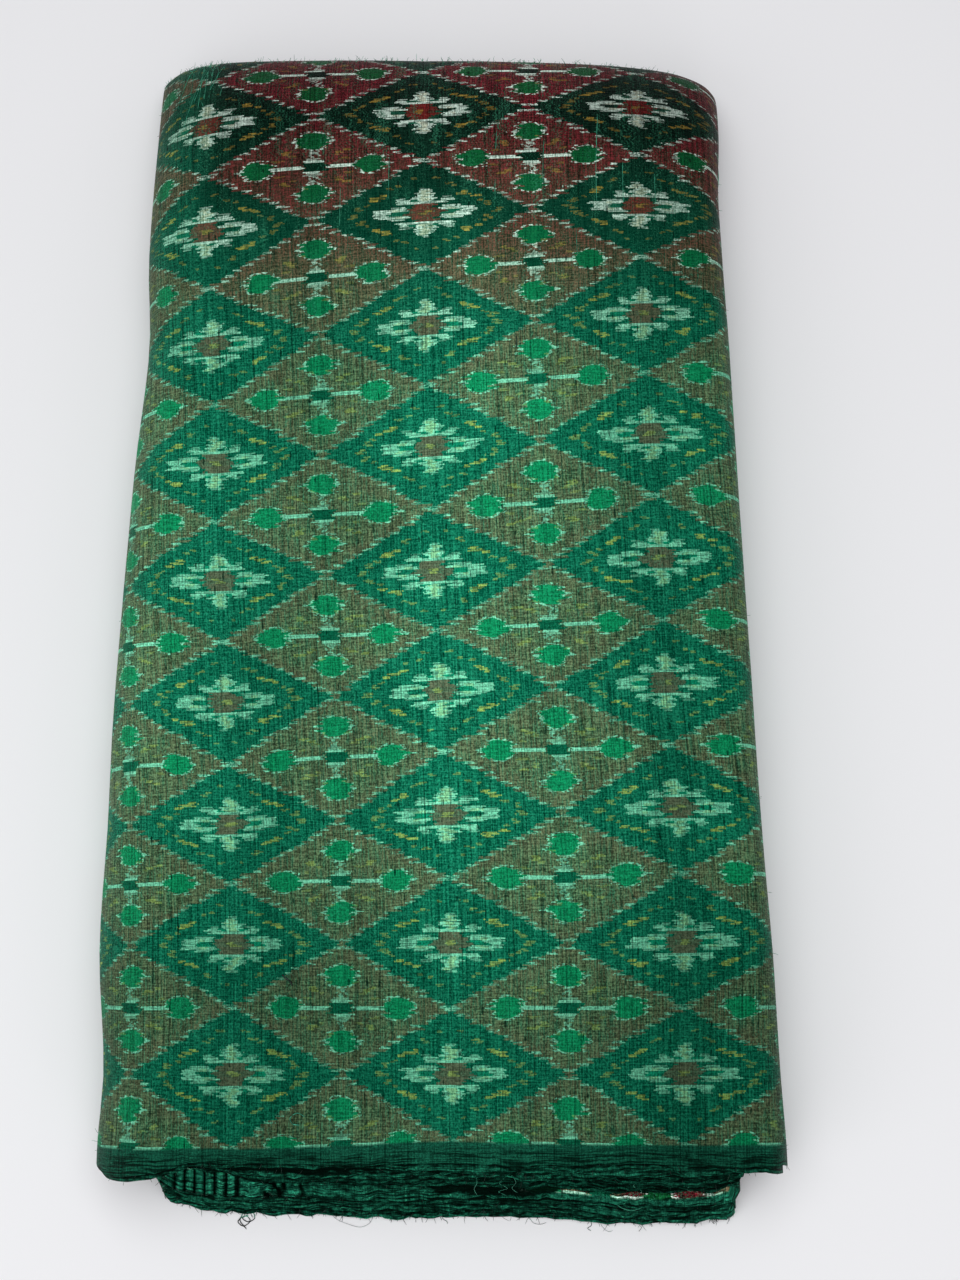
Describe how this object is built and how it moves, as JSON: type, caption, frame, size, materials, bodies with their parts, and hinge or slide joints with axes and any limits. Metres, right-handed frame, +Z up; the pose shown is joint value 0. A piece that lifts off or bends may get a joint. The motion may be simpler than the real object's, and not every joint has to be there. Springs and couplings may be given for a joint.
{
  "type": "folded bolt of fabric",
  "caption": "Folded bolt of slubbed silk cloth: a flat, slightly tapered stack folded back and forth, wrapped by its outer end, with a rounded far fold and stepped selvedge edges.",
  "frame": {"origin": "centre of the bounding box's underside, on the surface that the bolt lies on", "axes": "+X to the right along the cloth's warp, +Y from the selvedge end to the folded end, +Z up through the stack"},
  "size_m": [0.303, 0.549, 0.0729],
  "materials": {
    "silk": "slubbed plain weave silk in green and brown ikat diamonds, dull sheen"
  },
  "bodies": {
    "root": {"cloth_bolt": "silk"}
  },
  "joints": []
}
